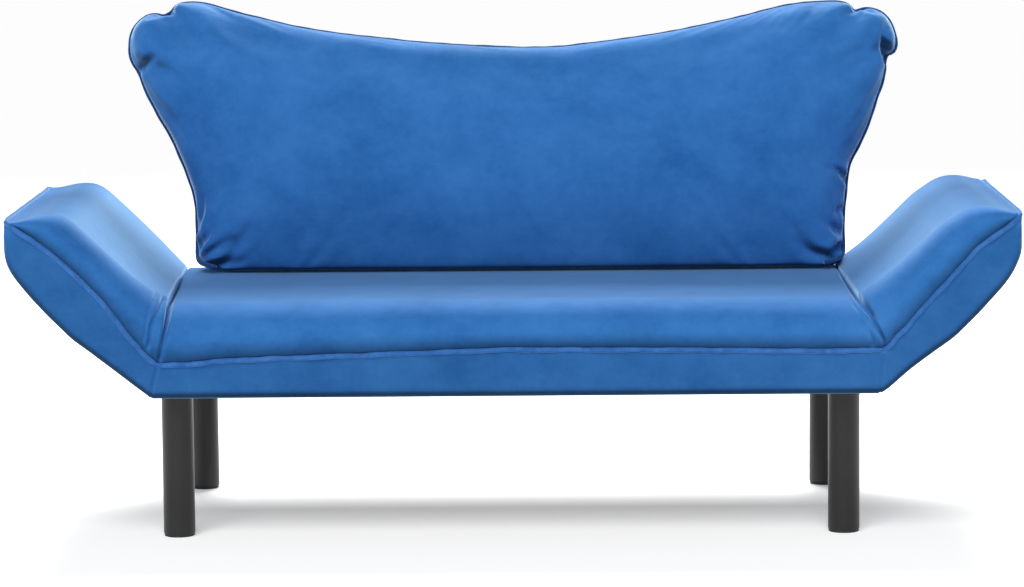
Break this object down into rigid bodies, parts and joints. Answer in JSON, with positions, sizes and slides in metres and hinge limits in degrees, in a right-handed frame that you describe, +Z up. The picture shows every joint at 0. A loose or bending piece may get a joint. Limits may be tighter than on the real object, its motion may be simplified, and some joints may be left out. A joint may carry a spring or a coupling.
{
  "type": "futon sofa bed",
  "caption": "Padded two-seat sofa on round legs whose arms and wing-shaped back fold down level with the seat to make a bed.",
  "frame": {"origin": "on the floor, under the centre of the whole object's box at rest", "axes": "+X along the seat, -Y the front that the sitter faces, +Z up"},
  "size_m": [1.6008, 0.6792, 0.8305],
  "materials": {
    "velvet": "short-pile velvet with brushed nap marks",
    "piping_velvet": "velvet wrapped over a cord",
    "foam": "open-cell foam",
    "leg_plastic": "satin charcoal",
    "glide_plastic": "matte black",
    "frame_steel": "black powder coat",
    "hinge_steel": "zinc plated",
    "fastener_steel": "zinc plated",
    "slat_wood": "planed poplar",
    "webbing": "woven elastic webbing",
    "dust_cloth": "non-woven cloth"
  },
  "bodies": {
    "base": {"seat_frame": "frame_steel", "seat_slats": "slat_wood", "slat_screws": "fastener_steel", "leg_plates": "frame_steel", "front_left_leg": "leg_plastic", "front_right_leg": "leg_plastic", "rear_left_leg": "leg_plastic", "rear_right_leg": "leg_plastic", "leg_studs": "fastener_steel", "leg_glides": "glide_plastic", "seat_foam": "foam", "seat_cover": "velvet", "underside_liner": "dust_cloth", "seat_piping": "piping_velvet", "left_hinge_plates": "hinge_steel", "right_hinge_plates": "hinge_steel", "hinge_bolts": "fastener_steel", "arm_hinge_pins": "fastener_steel", "back_hinge_plates": "hinge_steel", "back_hinge_pins": "fastener_steel", "pawl_pins": "fastener_steel"},
    "left_arm": {"left_arm_frame": "frame_steel", "left_arm_slats": "slat_wood", "left_arm_leaves": "hinge_steel", "left_arm_bolts": "fastener_steel", "left_arm_foam": "foam", "left_arm_cover": "velvet", "left_arm_piping": "piping_velvet"},
    "left_arm_catch": {"left_arm_pawls": "hinge_steel"},
    "right_arm": {"right_arm_frame": "frame_steel", "right_arm_slats": "slat_wood", "right_arm_leaves": "hinge_steel", "right_arm_bolts": "fastener_steel", "right_arm_foam": "foam", "right_arm_cover": "velvet", "right_arm_piping": "piping_velvet"},
    "right_arm_catch": {"right_arm_pawls": "hinge_steel"},
    "backrest": {"back_frame": "frame_steel", "back_straps": "webbing", "back_bars": "hinge_steel", "back_foam": "foam", "back_cover": "velvet", "back_piping": "piping_velvet"},
    "back_catch": {"back_pawls": "hinge_steel"}
  },
  "joints": [
    {"name": "left_arm_fold", "type": "hinge", "parent": "base", "child": "left_arm", "pos_m": [-0.55557, -0.03612, 0.258], "axis": [0, 1, 0], "range_deg": [-45, 0]},
    {"name": "right_arm_fold", "type": "hinge", "parent": "base", "child": "right_arm", "pos_m": [0.55557, -0.03612, 0.258], "axis": [0, -1, 0], "range_deg": [-45, 0]},
    {"name": "back_recline", "type": "hinge", "parent": "base", "child": "backrest", "pos_m": [0, 0.16088, 0.272], "axis": [-1, 0, 0], "range_deg": [0, 75]},
    {"name": "left_arm_pawl", "type": "hinge", "parent": "base", "child": "left_arm_catch", "pos_m": [-0.52857, -0.03612, 0.236], "axis": [0, -1, 0], "range_deg": [0, 9]},
    {"name": "right_arm_pawl", "type": "hinge", "parent": "base", "child": "right_arm_catch", "pos_m": [0.52857, -0.03612, 0.236], "axis": [0, 1, 0], "range_deg": [0, 9]},
    {"name": "back_pawl", "type": "hinge", "parent": "base", "child": "back_catch", "pos_m": [0, 0.13388, 0.25], "axis": [-1, 0, 0], "range_deg": [0, 9]}
  ]
}
